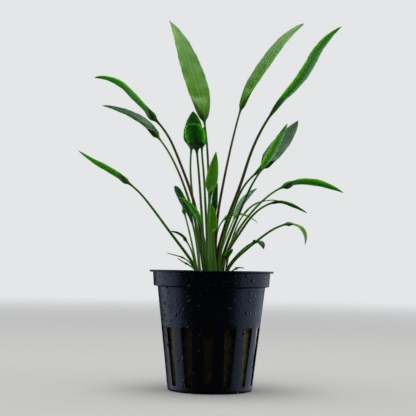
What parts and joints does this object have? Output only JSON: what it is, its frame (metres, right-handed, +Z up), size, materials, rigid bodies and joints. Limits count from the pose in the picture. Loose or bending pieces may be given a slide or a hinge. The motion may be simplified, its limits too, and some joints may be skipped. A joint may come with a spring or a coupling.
{
  "type": "potted cryptocoryne",
  "caption": "Clump of slender green leaves on long arching stalks, rooted in rock wool in a black net pot with tapered slots.",
  "frame": {"origin": "centre of the pot's flat foot, where it stands", "axes": "+Z up along the pot's axis; -Y towards the viewer of the picture; +X to that viewer's right"},
  "size_m": [0.1181, 0.0582, 0.1713],
  "materials": {
    "pot_plastic": "moulded, satin, wet",
    "rock_wool": "matted fibres, damp",
    "rootstock": "rough, damp",
    "leaf_pale": "smooth leaf, satin",
    "leaf_bright": "smooth leaf, satin",
    "leaf_olive": "smooth leaf, satin",
    "leaf_mid": "smooth leaf, satin",
    "leaf_dark": "smooth leaf, satin"
  },
  "bodies": {
    "root": {"pot": "pot_plastic", "rock_wool": "rock_wool", "rootstock": "rootstock", "leaf_tall_centre": "leaf_bright", "leaf_tall_right_inner": "leaf_mid", "leaf_tall_right_outer": "leaf_mid", "leaf_bright_right": "leaf_bright", "leaf_dark_right": "leaf_dark", "leaf_arching_left_upper": "leaf_mid", "leaf_arching_left_dark": "leaf_dark", "leaf_arching_left_lower": "leaf_bright", "leaf_young_centre": "leaf_bright", "leaf_dark_left": "leaf_dark", "leaf_young_front": "leaf_bright", "leaf_narrow_behind_centre": "leaf_dark", "leaf_spoon_back": "leaf_dark", "leaf_spoon_front": "leaf_dark", "leaf_spoon_edge": "leaf_dark", "leaf_thin_front_left": "leaf_bright", "leaf_left_behind": "leaf_bright", "leaf_small_left": "leaf_dark", "leaf_arching_right_upper": "leaf_mid", "leaf_arching_right_dark": "leaf_dark", "leaf_thin_right": "leaf_olive", "leaf_small_back": "leaf_mid", "leaf_pale_back_right": "leaf_pale", "leaf_low_right": "leaf_bright", "leaf_drooping_right": "leaf_dark", "leaf_short_right": "leaf_dark", "leaf_rim_right": "leaf_mid", "leaf_thin_rim_left": "leaf_olive", "leaf_short_rim_left": "leaf_dark"}
  },
  "joints": []
}
